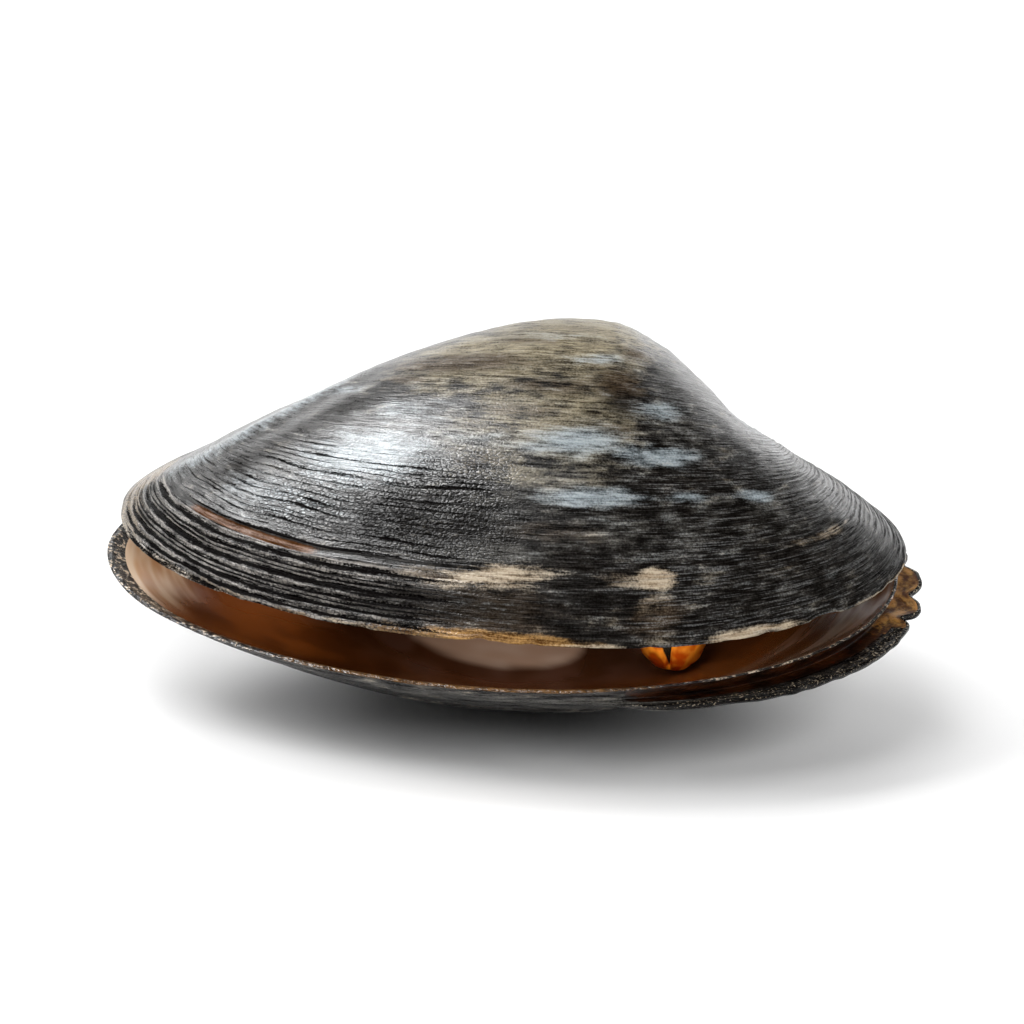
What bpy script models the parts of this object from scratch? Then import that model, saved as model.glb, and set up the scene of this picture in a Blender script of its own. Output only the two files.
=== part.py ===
"""Soft-shell clam shell, empty, lying on its lower valve with the upper valve a little open.

Lengths are in metres and angles in radians. +X runs along the shell, -Y is the open edge, +Z is up.
Each valve grows as a spiral: its outline shrinks towards the beak as it turns about the hinge line.
A place on a valve is given by an angle round its outline (0 is the +X end, -90 degrees is the middle
of the open edge) and by a turn about the hinge line (0 is the rim).
"""

import math

import bmesh
import bpy
from mathutils import Matrix, Vector

DEGREE = math.pi / 180.0

# Lie of the shell on the table
BEAK_PLACE = Vector((0.00855, 0.0249, 0.0209))
TIP_FORWARD = 11.0 * DEGREE
GAPE = 3.9 * DEGREE
HINGE_GAP = 0.00035

# Outlines, measured from each valve's own beak
UPPER_CENTRE = (-0.00905, -0.0262)
UPPER_REACH = (0.04105, 0.02545)
LOWER_CENTRE = (-0.0098, -0.02757)
LOWER_REACH = (0.0414, 0.0270)

# Growth per radian of turn
HEIGHT_GROWTH = (0.862, 0.075)
LOWER_HEIGHT_GROWTH = (0.95, 0.075)
LEFT_GROWTH = 0.745
RIGHT_GROWTH = 1.312
SIDE_GROWTH_LATE = 0.25
SIDE_BLEND = 0.004
UMBO_TURN = 2.62

# Wall
RIM_WALL = 0.00105
WALL_GAIN = 0.05
CAVITY_TURN = 1.95
HINGE_PLATE = 0.0020
HINGE_PLATE_REACH = 0.020
CAVITY_BEAK = 0.0025
LIP_ROUNDING = 0.00030

# Growth ledges: turn from the rim, and height of the step
UPPER_LEDGES = ((0.035, 0.00022), (0.115, 0.00045), (0.19, 0.00025), (0.30, 0.00022), (0.47, 0.0002))
LOWER_LEDGES = ((0.06, 0.0003), (0.16, 0.0003), (0.30, 0.00025), (0.47, 0.0002))
LEDGE_SLOPE = 0.045
LEDGE_FACE = 0.008

# Outer layer that has split off at the right of the lower valve
LAYER_START = (-80.0 * DEGREE, -58.0 * DEGREE)
LAYER_END = (16.0 * DEGREE, 34.0 * DEGREE)
LAYER_OUT = 0.0023
LAYER_OUT_START = 0.35
LAYER_SPREAD = (-70.0 * DEGREE, -25.0 * DEGREE)
LAYER_DOWN = 0.0016
LAYER_THICKNESS = 0.0008
CREVICE_IN = 0.0016
CREVICE_DOWN = 0.0020
LOBE_NOTCHES = (-10.0 * DEGREE, -0.5 * DEGREE, 11.5 * DEGREE)
NOTCH_DEPTH = 0.0013
NOTCH_WIDTH = 2.2 * DEGREE

# Swelling on the floor of the lower valve
SWELLING_CENTRE = (-0.0107, -0.0222)
SWELLING_REACH = (0.0103, 0.0072)
SWELLING_HEIGHT = 0.0014

# Drop of dried amber on the floor of the lower valve
DROP_CENTRE = Vector((0.0084, -0.0300, -0.0079))
DROP_RADII = (0.0033, 0.0031, 0.0031)
DROP_ROUND = 16
DROP_RINGS = 9

# Ligament behind the beaks
LIGAMENT_MIDDLE = Vector((-0.0075, 0.00008, 0.0002))
LIGAMENT_HALF_LENGTH = 0.0065
LIGAMENT_RADIUS = 0.00085
LIGAMENT_SLANT = 0.07
LIGAMENT_SIDES = 10
LIGAMENT_RINGS = 13

# Mesh
FRAYED_RANGE = (-20.0 * DEGREE, 17.5 * DEGREE)
FRAYED_COLUMNS = 15
PLAIN_COLUMNS = 41
OUTER_ROWS = 20
INNER_ROWS = 10


def smooth(low, high, value):
    """0 below low, 1 above high, and a smooth rise between."""
    share = min(1.0, max(0.0, (value - low) / (high - low)))
    return share * share * (3.0 - 2.0 * share)


class Valve:
    """One half of the shell, in its own frame: beak at the origin, rim in the plane z = 0."""

    def __init__(self, centre, reach, growth, ledges, side):
        self.centre = centre
        self.reach = reach
        self.growth = growth
        self.ledges = ledges
        self.side = side

    def relief(self, turn):
        """How far the surface lies inside the smooth spiral: a step at each ledge that fades out rimwards."""
        depth = 0.0
        for ledge, height in self.ledges:
            if turn < ledge:
                depth += height * math.exp(-(ledge - turn) / LEDGE_SLOPE)
        return depth

    def outline(self, angle, inset):
        return (
            self.centre[0] + (self.reach[0] - inset) * math.cos(angle),
            self.centre[1] + (self.reach[1] - inset) * math.sin(angle),
        )

    def grown(self, x, y, turn, extra=0.0, beak=0.0):
        """The outline point (x, y) after the outline has shrunk and turned about the hinge line."""
        right = 0.5 + 0.5 * math.tanh(x / SIDE_BLEND)
        side_growth = LEFT_GROWTH + (RIGHT_GROWTH - LEFT_GROWTH) * right + extra
        across = x * math.exp(-side_growth * turn - SIDE_GROWTH_LATE * turn * turn)
        first, second = self.growth
        reach = -(y + beak) * math.exp(-(first + extra) * turn - second * turn * turn)
        return Vector((across, -reach * math.cos(turn) - beak, self.side * reach * math.sin(turn)))

    def outer(self, angle, turn):
        x, y = self.outline(angle, self.relief(turn))
        return self.grown(x, y, turn)

    def inner(self, angle, turn):
        x, y = self.outline(angle, RIM_WALL)
        plate = HINGE_PLATE * math.exp(-((x / HINGE_PLATE_REACH) ** 2))
        y -= plate * max(0.0, math.sin(angle))
        return self.grown(x, y, turn, extra=WALL_GAIN, beak=CAVITY_BEAK)

    def lip(self, angle, inset, height):
        x, y = self.outline(angle, inset)
        return Vector((x, y, self.side * height))


def outer_turns(ledges):
    """Turns of the outer rows, close together at the rim, with two rows at each ledge."""
    turns = [UMBO_TURN * (row / OUTER_ROWS) ** 1.35 for row in range(1, OUTER_ROWS + 1)]
    for ledge, _ in ledges:
        turns = [turn for turn in turns if abs(turn - ledge) > LEDGE_FACE * 1.2]
        turns += [ledge - LEDGE_FACE / 2, ledge + LEDGE_FACE / 2]
    return sorted(turns)


def inner_turns():
    """Turns of the cavity's rows, from the beak end to the rim."""
    return [CAVITY_TURN * (row / INNER_ROWS) ** 1.2 for row in range(INNER_ROWS, 0, -1)]


def column_angles():
    """Angles of the mesh's columns, closer together along the frayed edge."""
    low, high = FRAYED_RANGE
    fine = (high - low) / FRAYED_COLUMNS
    plain = (2.0 * math.pi - (high - low)) / PLAIN_COLUMNS
    found = [low + fine * step for step in range(FRAYED_COLUMNS)]
    return found + [high + plain * step for step in range(PLAIN_COLUMNS)]


ANGLES = column_angles()


def layer_share(angle):
    """1 where the outer layer stands off, 0 where the rim is whole."""
    turned = math.remainder(angle, 2.0 * math.pi)
    return smooth(*LAYER_START, turned) * (1.0 - smooth(*LAYER_END, turned))


def layer_reach(angle):
    """How far the split layer reaches past the lip, with notches between its frayed lobes."""
    turned = math.remainder(angle, 2.0 * math.pi)
    spread = smooth(*LAYER_SPREAD, turned)
    reach = LAYER_OUT * (LAYER_OUT_START + (1.0 - LAYER_OUT_START) * spread)
    for notch in LOBE_NOTCHES:
        reach -= NOTCH_DEPTH * math.exp(-(((turned - notch) / NOTCH_WIDTH) ** 2))
    return reach


def swelling(point):
    """Lift of the cavity floor at a point, in metres."""
    across = (point.x - SWELLING_CENTRE[0]) / SWELLING_REACH[0]
    along = (point.y - SWELLING_CENTRE[1]) / SWELLING_REACH[1]
    return SWELLING_HEIGHT * (1.0 - smooth(0.8, 1.15, math.hypot(across, along)))


def upper_rows(valve):
    """Rings of the upper valve from the cavity's end, over the lip, to the umbo."""
    rows = [[valve.inner(a, turn) for a in ANGLES] for turn in inner_turns()]
    rows.append([valve.lip(a, RIM_WALL, LIP_ROUNDING) for a in ANGLES])
    rows.append([valve.lip(a, RIM_WALL - LIP_ROUNDING, 0.0) for a in ANGLES])
    rows.append([valve.lip(a, LIP_ROUNDING + valve.relief(0.0), 0.0) for a in ANGLES])
    for turn in outer_turns(valve.ledges):
        rows.append([valve.outer(a, turn) for a in ANGLES])
    return rows


def lower_rows(valve):
    """Rings of the lower valve: as the upper one, with a crevice and a split layer outside the lip."""
    rows = []
    for turn in inner_turns():
        ring = [valve.inner(a, turn) for a in ANGLES]
        rows.append([point + Vector((0.0, 0.0, swelling(point))) for point in ring])
    rows.append([valve.lip(a, RIM_WALL, LIP_ROUNDING) for a in ANGLES])
    rows.append([valve.lip(a, RIM_WALL - LIP_ROUNDING, 0.0) for a in ANGLES])
    rows.append([valve.lip(a, LIP_ROUNDING, 0.0) for a in ANGLES])
    turns = outer_turns(valve.ledges)
    first, second, third = turns[:3]
    crevice, upper_edge, lower_edge = [], [], []
    for a in ANGLES:
        share = layer_share(a)
        reach = layer_reach(a)
        whole = [valve.outer(a, turn) for turn in (first, second, third)]
        split = [
            valve.lip(a, CREVICE_IN, CREVICE_DOWN),
            valve.lip(a, -reach, LAYER_DOWN),
            valve.lip(a, -reach + LAYER_THICKNESS / 3, LAYER_DOWN + LAYER_THICKNESS),
        ]
        crevice.append(whole[0].lerp(split[0], share))
        upper_edge.append(whole[1].lerp(split[1], share))
        lower_edge.append(whole[2].lerp(split[2], share))
    rows += [crevice, upper_edge, lower_edge]
    for turn in turns[3:]:
        rows.append([valve.outer(a, turn) for a in ANGLES])
    return rows


def extrude_ring(bm, ring, points):
    """Extrude the ring of corners once, and put each new corner at its point."""
    edges = [bm.edges.get((a, b)) for a, b in zip(ring, ring[1:] + ring[:1])]
    made = bmesh.ops.extrude_edge_only(bm, edges=edges)
    fresh = {item for item in made["geom"] if isinstance(item, bmesh.types.BMVert)}
    raised = []
    for corner, point in zip(ring, points):
        new = next(e.other_vert(corner) for e in corner.link_edges if e.other_vert(corner) in fresh)
        new.co = point
        raised.append(new)
    return raised


def solid_from_rows(name, rows):
    """A closed mesh through the rings, capped at both ends."""
    bm = bmesh.new()
    ring = bmesh.ops.create_circle(bm, segments=len(rows[0]), radius=1.0, cap_ends=False)["verts"]
    for corner, point in zip(ring, rows[0]):
        corner.co = point
    bm.faces.new(ring)
    for points in rows[1:]:
        ring = extrude_ring(bm, ring, points)
    bm.faces.new(ring)
    bmesh.ops.recalc_face_normals(bm, faces=bm.faces)
    mesh = bpy.data.meshes.new(name)
    bm.to_mesh(mesh)
    bm.free()
    return mesh


def ligament_rows():
    """Rings of the ligament, a thin spindle whose front follows the hinge line behind the beaks."""
    rows = []
    for ring in range(LIGAMENT_RINGS):
        along = math.cos(math.pi * (ring + 0.5) / LIGAMENT_RINGS)
        radius = LIGAMENT_RADIUS * math.sqrt(1.0 - along * along)
        offset = LIGAMENT_HALF_LENGTH * along
        middle = LIGAMENT_MIDDLE + Vector((offset, radius + LIGAMENT_SLANT * offset, 0.0))
        points = []
        for side in range(LIGAMENT_SIDES):
            turned = 2.0 * math.pi * side / LIGAMENT_SIDES
            points.append(middle + radius * Vector((0.0, math.cos(turned), math.sin(turned))))
        rows.append(points)
    return rows


def drop_mesh(name):
    """A round drop, a little longer than it is high."""
    bm = bmesh.new()
    bmesh.ops.create_uvsphere(bm, u_segments=DROP_ROUND, v_segments=DROP_RINGS, radius=1.0)
    bmesh.ops.scale(bm, vec=DROP_RADII, verts=bm.verts)
    mesh = bpy.data.meshes.new(name)
    bm.to_mesh(mesh)
    bm.free()
    return mesh


def flatten_belly(mesh, to_world):
    """Press the lowest part of the belly flat, where the shell rests."""
    back = to_world.inverted()
    for vertex in mesh.vertices:
        place = to_world @ vertex.co
        if place.z < 0.0:
            place.z = 0.0
            vertex.co = back @ place


def material(name, colour, roughness):
    made = bpy.data.materials.new(name)
    made.use_nodes = True
    shader = made.node_tree.nodes["Principled BSDF"]
    shader.inputs["Base Color"].default_value = (*colour, 1.0)
    shader.inputs["Roughness"].default_value = roughness
    shader.inputs["Metallic"].default_value = 0.0
    return made


def add_object(name, mesh, parent, finish):
    made = bpy.data.objects.new(name, mesh)
    mesh.materials.append(finish)
    mesh.shade_smooth()
    mesh.set_sharp_from_angle(angle=40.0 * DEGREE)
    made.parent = parent
    bpy.context.scene.collection.objects.link(made)
    return made


def clear_scene():
    for old in list(bpy.data.objects):
        bpy.data.objects.remove(old)


def main():
    clear_scene()
    shell = bpy.data.objects.new("shell", None)
    shell.location = BEAK_PLACE
    shell.rotation_euler = (TIP_FORWARD, 0.0, 0.0)
    bpy.context.scene.collection.objects.link(shell)

    upper = Valve(UPPER_CENTRE, UPPER_REACH, HEIGHT_GROWTH, UPPER_LEDGES, 1.0)
    upper_mesh = solid_from_rows("upper_valve", upper_rows(upper))
    dark_skin = material("dark_outer_skin", (0.035, 0.032, 0.028), 0.45)
    upper_valve = add_object("upper_valve", upper_mesh, shell, dark_skin)
    upper_valve.location = (0.0, 0.0, HINGE_GAP)
    upper_valve.rotation_euler = (-GAPE, 0.0, 0.0)

    lower = Valve(LOWER_CENTRE, LOWER_REACH, LOWER_HEIGHT_GROWTH, LOWER_LEDGES, -1.0)
    lower_mesh = solid_from_rows("lower_valve", lower_rows(lower))
    to_world = Matrix.Translation(BEAK_PLACE) @ Matrix.Rotation(TIP_FORWARD, 4, "X")
    flatten_belly(lower_mesh, to_world)
    brown_lining = material("brown_lining", (0.16, 0.085, 0.045), 0.35)
    add_object("lower_valve", lower_mesh, shell, brown_lining)

    horny_brown = material("horny_ligament", (0.045, 0.022, 0.012), 0.5)
    add_object("ligament", solid_from_rows("ligament", ligament_rows()), shell, horny_brown)

    amber = material("dried_amber", (0.75, 0.20, 0.02), 0.12)
    drop = add_object("amber_drop", drop_mesh("amber_drop"), shell, amber)
    drop.location = DROP_CENTRE


main()
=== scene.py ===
"""Looks of the soft-shell clam shell: two weathered valves, the ligament and a drop of amber."""

import math

import bpy
import numpy as np
from mathutils import Matrix, Vector


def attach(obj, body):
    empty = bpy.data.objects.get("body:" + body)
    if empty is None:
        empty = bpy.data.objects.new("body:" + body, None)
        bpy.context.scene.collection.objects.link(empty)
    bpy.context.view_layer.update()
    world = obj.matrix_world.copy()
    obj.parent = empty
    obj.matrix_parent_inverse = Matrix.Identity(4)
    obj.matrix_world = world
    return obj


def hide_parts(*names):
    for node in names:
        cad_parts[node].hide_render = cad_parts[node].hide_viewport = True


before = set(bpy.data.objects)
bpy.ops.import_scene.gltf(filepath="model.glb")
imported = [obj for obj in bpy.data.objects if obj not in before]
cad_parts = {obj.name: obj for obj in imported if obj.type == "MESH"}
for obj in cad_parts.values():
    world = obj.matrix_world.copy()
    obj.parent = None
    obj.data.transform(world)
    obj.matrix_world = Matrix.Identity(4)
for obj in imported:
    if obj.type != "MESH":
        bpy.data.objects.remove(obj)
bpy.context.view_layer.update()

MM = 0.001
DEGREE = math.pi / 180.0

# Lie of the shell, as the solids have it
BEAK_PLACE = Vector((8.55, 24.9, 20.9)) * MM
TIP_FORWARD = 11.0 * DEGREE
GAPE = 3.9 * DEGREE
HINGE_GAP = 0.35 * MM

# Growth spiral, as the solids have it
UPPER = {"centre": (-9.05, -26.2), "reach": (41.05, 25.45), "growth": (0.862, 0.075)}
LOWER = {"centre": (-9.8, -27.57), "reach": (41.4, 27.0), "growth": (0.95, 0.075)}
LEFT_GROWTH = 0.745
RIGHT_GROWTH = 1.312
SIDE_GROWTH_LATE = 0.25
SIDE_BLEND = 4.0
UMBO_TURN = 2.62
RIM_WALL = 1.05
WALL_GAIN = 0.05
CAVITY_TURN = 1.95
HINGE_PLATE = 2.0
HINGE_PLATE_REACH = 20.0
CAVITY_BEAK = 2.5

# Split outer layer of the lower valve
LAYER_START = (-80.0, -58.0)
LAYER_END = (16.0, 34.0)
LAYER_OUT = 2.3
LAYER_OUT_START = 0.35
LAYER_SPREAD = (-70.0, -25.0)
LAYER_DOWN = 1.6
LAYER_THICKNESS = 0.8
CREVICE_IN = 1.6
CREVICE_DOWN = 2.0
LOBE_NOTCHES = (-10.0, -0.5, 11.5)
NOTCH_DEPTH = 1.3
NOTCH_WIDTH = 2.2

# Swelling on the lower valve's floor
SWELLING_CENTRE = (-10.7, -22.2)
SWELLING_REACH = (10.3, 7.2)
SWELLING_HEIGHT = 1.4

# Drop of amber
DROP_CENTRE = (8.4, -30.0, -7.9)
DROP_RADII = (3.45, 3.2, 3.25)

# Ligament behind the beaks
LIGAMENT_MIDDLE = (-7.5, 0.08, 0.2)


def smooth(low, high, value):
    """0 below low, 1 above high, and a smooth rise between."""
    share = np.clip((value - low) / (high - low), 0.0, 1.0)
    return share * share * (3.0 - 2.0 * share)


def bell(value, middle, width):
    return np.exp(-(((value - middle) / width) ** 2))


def cloud(u, v, cells, seed):
    """Smooth random field from -1 to 1 that repeats after the given number of cells in u."""
    table = np.random.default_rng(seed).uniform(-1.0, 1.0, (cells, 256))
    u0, v0 = np.floor(u).astype(int), np.floor(v).astype(int)
    fu, fv = u - u0, v - v0
    fu, fv = fu * fu * (3 - 2 * fu), fv * fv * (3 - 2 * fv)
    u1, v1 = (u0 + 1) % cells, (v0 + 1) % 256
    u0, v0 = u0 % cells, v0 % 256
    low = table[u0, v0] * (1 - fu) + table[u1, v0] * fu
    high = table[u0, v1] * (1 - fu) + table[u1, v1] * fu
    return low * (1 - fv) + high * fv


def turned(angle):
    """Angle in degrees between -180 and 180."""
    return (np.degrees(angle) + 180.0) % 360.0 - 180.0


def outline(valve, angle, inset):
    x = valve["centre"][0] + (valve["reach"][0] - inset) * np.cos(angle)
    y = valve["centre"][1] + (valve["reach"][1] - inset) * np.sin(angle)
    return x, y


def grown(valve, x, y, turn, extra=0.0, beak=0.0):
    """The outline point (x, y) after the outline has shrunk and turned about the hinge line."""
    right = 0.5 + 0.5 * np.tanh(x / SIDE_BLEND)
    side_growth = LEFT_GROWTH + (RIGHT_GROWTH - LEFT_GROWTH) * right + extra
    across = x * np.exp(-side_growth * turn - SIDE_GROWTH_LATE * turn * turn)
    first, second = valve["growth"]
    reach = -(y + beak) * np.exp(-(first + extra) * turn - second * turn * turn)
    return np.stack([across, -reach * np.cos(turn) - beak, reach * np.sin(turn)], axis=-1)


def outer(valve, angle, turn, inset=0.0):
    x, y = outline(valve, angle, inset)
    return grown(valve, x, y, turn)


def inner(valve, angle, turn):
    x, y = outline(valve, angle, RIM_WALL)
    plate = HINGE_PLATE * np.exp(-((x / HINGE_PLATE_REACH) ** 2))
    y = y - plate * np.maximum(0.0, np.sin(angle))
    return grown(valve, x, y, turn, extra=WALL_GAIN, beak=CAVITY_BEAK)


def lip(valve, angle, inset, height):
    x, y = outline(valve, angle, inset)
    return np.stack([x, y, np.zeros_like(x) + height], axis=-1)


def grid_normals(points):
    """Unit normals of a grid of points, from its neighbours."""
    along = np.gradient(points, axis=1)
    across = np.gradient(points, axis=0)
    normal = np.cross(along, across)
    length = np.linalg.norm(normal, axis=-1, keepdims=True)
    return normal / np.maximum(length, 1e-9)


def column_angles(count):
    """Angles round the outline from the hinge to the hinge, closer together along the open edge."""
    share = np.linspace(0.0, 1.0, 2001)
    angle = -270.0 + 360.0 * share
    density = 0.55 + smooth(-200.0, -170.0, angle) * (1.0 - smooth(-5.0, 40.0, angle))
    total = np.concatenate([[0.0], np.cumsum(density[1:] + density[:-1])])
    return np.radians(np.interp(np.linspace(0.0, total[-1], count), total, angle))


def spaced(*stretches):
    """Values through the stretches (start, end, count), without doubling where they join."""
    parts = [np.linspace(start, end, count, endpoint=False) for start, end, count in stretches]
    return np.concatenate(parts + [[stretches[-1][1]]])

def away(angle, middle):
    """Degrees round the outline from the middle, with a sign."""
    return (np.degrees(angle) - middle + 180.0) % 360.0 - 180.0


def span(angle, low, high, soft):
    """1 on the stretch of outline from low to high in degrees, with soft ends."""
    middle, half = (low + high) / 2.0, (high - low) / 2.0
    return 1.0 - smooth(half - soft, half + soft, np.abs(away(angle, middle)))


def around(angle, middle, width):
    return np.exp(-((away(angle, middle) / width) ** 2))


ARC_TURNS = np.linspace(0.0, UMBO_TURN, 400)


def arc_length(valve, turn):
    """Length in mm along the middle of the outer surface from the rim to the given turn."""
    path = outer(valve, np.full_like(ARC_TURNS, -90.0 * DEGREE), ARC_TURNS)
    steps = np.linalg.norm(np.diff(path, axis=0), axis=1)
    return np.interp(turn, ARC_TURNS, np.concatenate([[0.0], np.cumsum(steps)]))


def cord_count(angle, turn, spacing, seed, wander=0.25):
    """Number of growth cords from the rim: whole in the grooves, halves on the crests. The spacing is in radians."""
    rng = np.random.default_rng(seed)
    edges = np.cumsum(spacing * rng.uniform(0.42, 1.58, 400))
    drift = wander * spacing * cloud((angle / math.tau) * 36, turn / (5 * spacing), 36, seed + 1)
    return np.interp(turn + drift, edges, np.arange(400.0))


def cord_strength(angle, count, seed):
    """Each cord swells and fades on its own round the outline."""
    return 0.62 + 0.38 * cloud((angle / math.tau) * 48, np.floor(count) * 1.618, 48, seed)


def gap_strength(angle, count, seed):
    """Each gap between cords opens and closes on its own round the outline, from -1 to 1."""
    return cloud((angle / math.tau) * 40, np.floor(count + 0.5) * 1.618, 40, seed)


def cords(angle, turn, spacing, seed, wander=0.25):
    """Rounded growth cords with narrow grooves between, from 0 in a groove to 1 on a cord."""
    count = cord_count(angle, turn, spacing, seed, wander)
    return (np.abs(np.sin(np.pi * count)) ** 0.6) * cord_strength(angle, count, seed + 2)


def marks(angle, turn, places):
    """Soft-edged patches on the skin: middle, half sizes, slant and strength of each."""
    field = np.zeros_like(angle + turn)
    for middle, height, half_angle, half_turn, slant, strength in places:
        across = away(angle, middle)
        off = np.hypot(across / half_angle, (turn - height - slant * across) / half_turn)
        field = np.maximum(field, strength * (1.0 - smooth(0.1, 1.35, off)))
    return field


def rolled_sheet(name, rings, fields):
    """A flat grid that is bent round so that its first and last columns meet, with fields kept at its corners."""
    rows, columns = rings.shape[:2]
    bpy.ops.object.select_all(action="DESELECT")
    bpy.ops.mesh.primitive_grid_add(x_subdivisions=columns - 1, y_subdivisions=rows - 1, size=1.0)
    sheet = bpy.context.object
    sheet.name = name
    sheet.data.name = name
    sheet.data.vertices.foreach_set("co", (rings * MM).astype(np.float32).ravel())
    for field, values in fields.items():
        kind = "FLOAT_VECTOR" if values.ndim == 3 else "FLOAT"
        made = sheet.data.attributes.new(field, kind, "POINT")
        made.data.foreach_set("vector" if values.ndim == 3 else "value", values.astype(np.float32).ravel())
    bpy.ops.object.mode_set(mode="EDIT")
    bpy.ops.mesh.select_all(action="SELECT")
    bpy.ops.mesh.remove_doubles(threshold=1e-6)
    bpy.ops.mesh.normals_make_consistent(inside=False)
    bpy.ops.object.mode_set(mode="OBJECT")
    bpy.ops.object.shade_smooth()
    return sheet


def face_values(piece, field):
    """Mean of a field over each face."""
    mesh = piece.data
    values = np.empty(len(mesh.vertices), np.float32)
    mesh.attributes[field].data.foreach_get("value", values)
    corners = np.empty(len(mesh.loops), np.int32)
    mesh.loops.foreach_get("vertex_index", corners)
    starts = np.empty(len(mesh.polygons), np.int32)
    mesh.polygons.foreach_get("loop_start", starts)
    totals = np.empty(len(mesh.polygons), np.int32)
    mesh.polygons.foreach_get("loop_total", totals)
    return np.add.reduceat(values[corners], starts) / totals


def dress(piece, materials, choice):
    """Gives each face the material of the given number."""
    for made in materials:
        piece.data.materials.append(made)
    piece.data.polygons.foreach_set("material_index", choice.astype(np.int32))
    piece.data.update()


def growth_place(valve, angle, turn):
    """Place in metres for patterns that follow growth: two coordinates round the outline, one from the rim."""
    radius = 35.0 * MM * np.exp(-0.6 * turn)
    arc = arc_length(valve, turn) * MM
    return np.stack([radius * np.cos(angle), radius * np.sin(angle), arc + np.zeros_like(angle)], axis=-1)


def to_world(points, gape, lift):
    """Shell coordinates in mm to the row's frame in mm, with the valve turned open about the hinge line."""
    matrix = (
        Matrix.Translation(BEAK_PLACE / MM)
        @ Matrix.Rotation(TIP_FORWARD, 4, "X")
        @ Matrix.Translation((0.0, 0.0, lift / MM))
        @ Matrix.Rotation(-gape, 4, "X")
    )
    m = np.array(matrix)
    return points @ m[:3, :3].T + m[:3, 3]


def rolled_edge(outside, inside, height):
    """Rounded rim between the outer skin's first ring and the lining's first ring."""
    rings = []
    for share in (0.12, 0.3, 0.5, 0.7, 0.88):
        ring = outside + (inside - outside) * share
        ring[..., 2] -= height * math.sin(math.pi * share)
        rings.append(ring)
    return np.array(rings)


def broken_back(angle, seed):
    """How far in mm small chips have broken the rim back."""
    place = angle / math.tau
    level = np.full_like(angle, 0.5)
    fine = np.maximum(0.0, cloud(place * 150, level, 150, seed) - 0.15)
    large = np.maximum(0.0, cloud(place * 40, level, 40, seed + 1) - 0.35)
    return 0.28 * fine + 0.55 * large


# Upper valve
# Growth stops: turn, height in mm, from and to in degrees
UPPER_LEDGES = (
    (0.035, 0.10, -60.0, 30.0),
    (0.1155, 0.40, -168.0, -98.0),
    (0.1180, 0.12, -100.0, -56.0),
    (0.19, 0.10, -150.0, -100.0),
    (0.245, 0.14, -60.0, 40.0),
    (0.30, 0.10, -160.0, -110.0),
    (0.47, 0.08, -120.0, -40.0),
    (0.62, 0.08, -140.0, -60.0),
)
CREAM_MARKS = (
    (-91.0, 0.105, 10.5, 0.028, 0.0008, 0.95),
    (-65.5, 0.106, 4.6, 0.024, 0.0, 1.2),
    (-50.0, 0.004, 10.0, 0.013, 0.0, 1.3),
    (-110.0, 0.003, 5.0, 0.010, 0.0, 0.9),
    (-76.0, 0.001, 9.0, 0.006, 0.0, 0.6),
    (-16.0, 0.000, 26.0, 0.0035, 0.0, 0.85),
    # A wide pale patch on the crown: painted highlight
    (-85.0, 1.320, 70.0, 0.200, 0.0, 0.85),
)
TAN_MARKS = (
    (-173.0, 0.010, 16.0, 0.055, 0.0, 1.5),
    (-186.0, 0.060, 12.0, 0.070, 0.0, 1.4),
    (-140.0, 0.002, 22.0, 0.012, 0.0, 1.1),
    (-101.0, 0.098, 10.0, 0.022, 0.0, 0.8),
    (-23.0, 0.142, 17.0, 0.012, 0.0, 0.7),
    (-72.0, 0.104, 6.0, 0.020, 0.0, 0.5),
    (-67.0, 0.060, 4.0, 0.020, 0.0, 0.6),
)
GOLD_MARKS = (
    (-92.0, 0.003, 22.0, 0.018, 0.0, 1.3),
    (-120.0, 0.001, 5.0, 0.006, 0.0, 0.8),
    (-8.0, 0.001, 12.0, 0.005, 0.0, 0.8),
)
# Pale worn patch on the left flank, with painted sheen over it
WORN_PATCH_AND_SHEEN = (-121.5, 0.310, 18.0, 0.095, 0.001, 1.0)
BLUE_MARKS = (
    (-82.0, 0.393, 13.0, 0.048, 0.0009, 1.05),
    (-70.5, 0.372, 6.5, 0.022, 0.0004, 0.75),
    (-60.2, 0.363, 11.0, 0.033, 0.0004, 1.0),
    (-77.5, 0.259, 12.5, 0.028, 0.0001, 0.95),
    (-38.8, 0.259, 6.0, 0.019, -0.001, 1.0),
    (-58.7, 0.503, 10.0, 0.042, 0.0008, 0.8),
    (-56.4, 0.262, 6.0, 0.015, 0.0, 0.7),
    (-118.0, 0.450, 14.0, 0.050, 0.0008, 0.5),
    WORN_PATCH_AND_SHEEN,
    (-133.0, 0.190, 18.0, 0.065, 0.0, 0.65),
    (-102.0, 0.380, 14.0, 0.030, 0.0, 0.45),
    (-146.0, 0.520, 12.0, 0.030, 0.0, 0.6),
    (-80.0, 0.690, 12.0, 0.035, 0.002, 0.7),
    (-96.0, 0.820, 22.0, 0.030, 0.0, 0.5),
    # A pale band along the right edge: painted sheen
    (-8.0, 0.560, 18.0, 0.220, 0.0, 0.55),
)
DARK_MARKS = (
    (-139.5, 0.444, 10.0, 0.055, 0.0, 1.1),
    (-147.0, 0.355, 8.5, 0.038, 0.0, 1.1),
    (-151.0, 0.232, 6.0, 0.040, 0.0, 1.1),
    (-70.7, 0.525, 8.0, 0.070, 0.0, 0.9),
    (-50.0, 0.640, 13.0, 0.100, 0.0, 1.0),
    (-70.0, 0.300, 7.0, 0.024, 0.0, 0.7),
    (-100.0, 0.050, 26.0, 0.040, 0.0, 1.0),
    (-42.0, 0.210, 26.0, 0.030, 0.0, 0.6),
    (-104.0, 0.190, 20.0, 0.080, 0.0, 1.1),
    (-28.0, 0.100, 24.0, 0.080, 0.0, 0.7),
    (-79.0, 0.140, 7.0, 0.060, 0.0, 0.8),
)
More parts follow.
